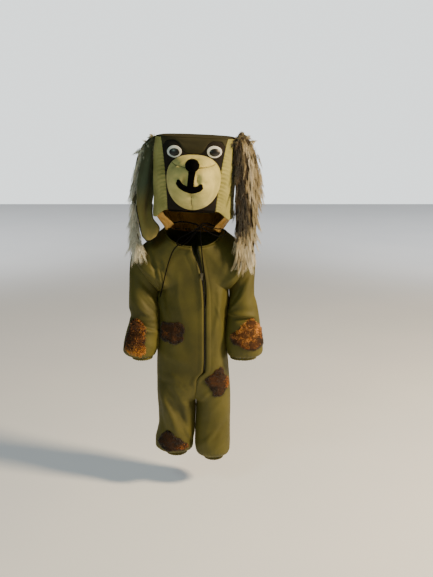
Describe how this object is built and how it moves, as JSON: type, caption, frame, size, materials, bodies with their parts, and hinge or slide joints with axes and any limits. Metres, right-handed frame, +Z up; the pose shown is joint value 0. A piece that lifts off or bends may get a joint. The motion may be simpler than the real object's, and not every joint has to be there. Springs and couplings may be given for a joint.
{
  "type": "dog costume",
  "caption": "Dog costume set: loose zip jumpsuit with plush spots and gathered cuffs, and a foam-backed dog hood with padded muzzle, long ears and drawstring neck.",
  "frame": {"origin": "middle of the neck opening, where the set is held", "axes": "+Z up along the body, front toward -Y, the wearer's left hand toward +X"},
  "size_m": [0.4324, 0.3415, 1.0261],
  "materials": {
    "olive_cloth": "matt, soft sheen",
    "zip_tape": "matt",
    "sage_plush": "short pile, matt",
    "ear_lining": "matt",
    "long_fur": "long pile",
    "eye_white": "satin",
    "pupil": "gloss",
    "drawstring": "matt",
    "dark_olive_cloth": "matt",
    "brown_cloth": "matt",
    "black_binding": "matt",
    "tan_cloth": "matt, soft sheen",
    "black_felt": "matt",
    "curly_plush": "crushed pile",
    "zip_metal": "satin"
  },
  "bodies": {
    "costume": {"ankle_casing_left": "olive_cloth", "ankle_casing_right": "olive_cloth", "cord_casing_left": "drawstring", "cord_casing_right": "drawstring", "cord_end_left": "drawstring", "cord_end_right": "drawstring", "cord_knot": "drawstring", "cord_loop_left": "drawstring", "cord_loop_right": "drawstring", "cuff_casing_left": "olive_cloth", "cuff_casing_right": "olive_cloth", "ear_fur_left": "long_fur", "ear_fur_right": "long_fur", "ear_lining_left": "ear_lining", "ear_lining_right": "ear_lining", "eye_white_left": "eye_white", "eye_white_right": "eye_white", "hood_back": "dark_olive_cloth", "hood_cheek_left": "sage_plush", "hood_cheek_right": "sage_plush", "hood_forehead": "dark_olive_cloth", "hood_mask": "brown_cloth", "hood_top": "dark_olive_cloth", "mask_binding": "black_binding", "mouth": "black_felt", "muzzle_left": "sage_plush", "muzzle_right": "sage_plush", "muzzle_top": "sage_plush", "neck_section": "tan_cloth", "neckline_binding": "olive_cloth", "nose": "black_felt", "patch_ankle_left": "curly_plush", "patch_arm_left": "curly_plush", "patch_arm_right": "curly_plush", "patch_hip_left": "curly_plush", "patch_thigh_right": "curly_plush", "pupil_left": "pupil", "pupil_right": "pupil", "sleeve_left": "olive_cloth", "sleeve_right": "olive_cloth", "suit_back_left": "olive_cloth", "suit_back_right": "olive_cloth", "suit_front_left": "olive_cloth", "suit_front_right": "olive_cloth", "zip_slider": "zip_metal", "zip_tape_left": "zip_tape", "zip_tape_right": "zip_tape"},
    "tab": {"zip_pull_tab": "zip_metal"}
  },
  "joints": [
    {"name": "pull_tab_swing", "type": "hinge", "parent": "costume", "child": "tab", "pos_m": [0.0245, -0.08294, -0.1], "axis": [-1, 0, 0], "range_deg": [0, 150]}
  ]
}
